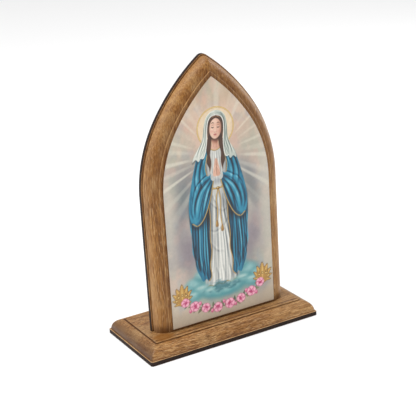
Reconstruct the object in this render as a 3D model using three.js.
// A wooden devotional shrine for a table or shelf. A pointed-arch board with a moulded edge stands upright
// on a moulded base of the same board, and a thin printed picture panel is fixed to the face of the arch.
// Millimetres, +Z up. The picture faces -Y, and the origin is the middle of the base's underside.
import * as THREE from "three";

// The board and the moulding that is cut round its edge. From the back or underside up to the face this is
// a straight band, a narrow ledge, a quarter round and a small step.
const BOARD_THICKNESS = 15;
const EDGE_BAND_HEIGHT = 4;
const LEDGE_WIDTH = 1.3;
const ROUND_WIDTH = 10;
const STEP_HEIGHT = 1;
const MOULDING_WIDTH = LEDGE_WIDTH + ROUND_WIDTH;

// The arch has straight sides, then an arc of two radii on each side that rises to a softened tip
const ARCH_WIDTH = 133;
const ARCH_SIDE_HEIGHT = 121.5;
const LOWER_ARC_RADIUS = 120;
const LOWER_ARC_SWEEP = THREE.MathUtils.degToRad(32.6);
const UPPER_ARC_RADIUS = 180;
const TIP_RADIUS = 6;

// The base leaves a flat field round the arch's foot, inside its own moulding
const FIELD_BESIDE = 7.2;
const FIELD_BEFORE = 10.2;
const FIELD_BEHIND = 36.2;
const BASE_CORNER_RADIUS = 2;
const BASE_LENGTH = ARCH_WIDTH + 2 * (FIELD_BESIDE + MOULDING_WIDTH);
const BASE_DEPTH = FIELD_BEFORE + BOARD_THICKNESS + FIELD_BEHIND + 2 * MOULDING_WIDTH;

// The picture panel follows the arch's outline and leaves a land of bare wood inside the moulding
const PANEL_THICKNESS = 1.3;
const PANEL_LAND = 3.3;
const PANEL_FOOT_GAP = 2.4;

// The tightest radius that an outline keeps at its tip or corners as it moves in
const LEAST_RADIUS = 0.4;

// Facets along each curve
const ROUND_FACETS = 10;
const LOWER_ARC_FACETS = 12;
const UPPER_ARC_FACETS = 14;
const TIP_FACETS = 4;
const CORNER_FACETS = 4;

const WOOD = { color: 0x9c7347, roughness: 0.45, metalness: 0 };
const PRINT = { color: 0xbfb3a2, roughness: 0.4, metalness: 0 };

// Points along an arc, both ends included, with angles in radians from the first axis
function arcPoints(centre, radius, from, to, facets) {
  return Array.from({ length: facets + 1 }, (_, i) => {
    const angle = from + ((to - from) * i) / facets;
    return new THREE.Vector2(centre.x + radius * Math.cos(angle), centre.y + radius * Math.sin(angle));
  });
}

// The arch's outline moved in by inset, with its foot at footHeight, anticlockwise from the lower right
function archOutline(inset, footHeight) {
  const halfWidth = ARCH_WIDTH / 2;
  const lowerCentre = new THREE.Vector2(halfWidth - LOWER_ARC_RADIUS, ARCH_SIDE_HEIGHT);
  const meeting = new THREE.Vector2(Math.cos(LOWER_ARC_SWEEP), Math.sin(LOWER_ARC_SWEEP));
  const upperCentre = lowerCentre.clone().addScaledVector(meeting, LOWER_ARC_RADIUS - UPPER_ARC_RADIUS);
  const tipRadius = Math.max(TIP_RADIUS - inset, LEAST_RADIUS);
  const reach = UPPER_ARC_RADIUS - inset - tipRadius;
  const tipCentre = new THREE.Vector2(0, upperCentre.y + Math.sqrt(reach ** 2 - upperCentre.x ** 2));
  const tipAngle = tipCentre.clone().sub(upperCentre).angle();
  const right = [
    new THREE.Vector2(halfWidth - inset, footHeight),
    ...arcPoints(lowerCentre, LOWER_ARC_RADIUS - inset, 0, LOWER_ARC_SWEEP, LOWER_ARC_FACETS),
    ...arcPoints(upperCentre, UPPER_ARC_RADIUS - inset, LOWER_ARC_SWEEP, tipAngle, UPPER_ARC_FACETS).slice(1),
    ...arcPoints(tipCentre, tipRadius, tipAngle, Math.PI / 2, TIP_FACETS).slice(1),
  ];
  const left = right.slice(0, -1).reverse().map((p) => new THREE.Vector2(-p.x, p.y));
  return [...right, ...left];
}

// The base's outline moved in by inset, anticlockwise seen from above
function baseOutline(inset) {
  const radius = Math.max(BASE_CORNER_RADIUS - inset, LEAST_RADIUS);
  const x = BASE_LENGTH / 2 - inset - radius;
  const y = BASE_DEPTH / 2 - inset - radius;
  const corners = [[x, -y], [x, y], [-x, y], [-x, -y]];
  return corners.flatMap(([cx, cy], i) => {
    const start = (i - 1) * (Math.PI / 2);
    return arcPoints(new THREE.Vector2(cx, cy), radius, start, start + Math.PI / 2, CORNER_FACETS);
  });
}

// The moulding's section as places, each with how far it lies in from the outer edge and how high above the back
function mouldingSection() {
  const roundHeight = BOARD_THICKNESS - EDGE_BAND_HEIGHT - STEP_HEIGHT;
  const round = Array.from({ length: ROUND_FACETS + 1 }, (_, i) => {
    const angle = ((Math.PI / 2) * i) / ROUND_FACETS;
    return {
      inset: LEDGE_WIDTH + ROUND_WIDTH * (1 - Math.cos(angle)),
      height: EDGE_BAND_HEIGHT + roundHeight * Math.sin(angle),
    };
  });
  return [
    { inset: 0, height: 0 },
    { inset: 0, height: EDGE_BAND_HEIGHT },
    ...round,
    { inset: MOULDING_WIDTH, height: BOARD_THICKNESS },
  ];
}

// A ring of a board that lies flat, with its outline in X and Y
function flatRing(outline, height) {
  return { outline, points: outline.map((p) => [p.x, p.y, height]) };
}

// A ring of a board that stands, with its outline in X and Z and its face towards -Y
function standingRing(outline, forward) {
  return { outline, points: outline.map((p) => [p.x, -forward, p.y]) };
}

// A closed solid through rings of equal count, each anticlockwise seen from the last ring's side
function solidThroughRings(rings) {
  const count = rings[0].points.length;
  const lastStart = (rings.length - 1) * count;
  const faces = [];
  for (let start = 0; start < lastStart; start += count) {
    for (let i = 0; i < count; i++) {
      const here = start + i;
      const next = start + ((i + 1) % count);
      faces.push(here, next, next + count, here, next + count, here + count);
    }
  }
  for (const [a, b, c] of THREE.ShapeUtils.triangulateShape(rings[0].outline, [])) {
    faces.push(a, c, b);
  }
  for (const triangle of THREE.ShapeUtils.triangulateShape(rings.at(-1).outline, [])) {
    faces.push(...triangle.map((corner) => lastStart + corner));
  }
  const positions = rings.flatMap((ring) => ring.points.flat());
  const geometry = new THREE.BufferGeometry();
  geometry.setAttribute("position", new THREE.Float32BufferAttribute(positions, 3));
  geometry.setIndex(faces);
  geometry.computeVertexNormals();
  return geometry;
}

function namedMesh(name, geometry, finish) {
  const mesh = new THREE.Mesh(geometry, new THREE.MeshStandardMaterial(finish));
  mesh.name = name;
  return mesh;
}

function makeBase() {
  const rings = mouldingSection().map(({ inset, height }) => flatRing(baseOutline(inset), height));
  return namedMesh("base", solidThroughRings(rings), WOOD);
}

// The arch board, with its face at Y 0 of the upright group and its foot at Z 0
function makeArchBoard() {
  const rings = mouldingSection().map(({ inset, height }) => {
    return standingRing(archOutline(inset, 0), height - BOARD_THICKNESS);
  });
  return namedMesh("arch_board", solidThroughRings(rings), WOOD);
}

function makePicturePanel() {
  const outline = archOutline(MOULDING_WIDTH + PANEL_LAND, PANEL_FOOT_GAP);
  const rings = [standingRing(outline, 0), standingRing(outline, PANEL_THICKNESS)];
  return namedMesh("picture_panel", solidThroughRings(rings), PRINT);
}

const upright = new THREE.Group();
upright.position.set(0, -BASE_DEPTH / 2 + MOULDING_WIDTH + FIELD_BEFORE, BOARD_THICKNESS);
upright.add(makeArchBoard(), makePicturePanel());

const shrine = new THREE.Group();
shrine.add(makeBase(), upright);

export default shrine;
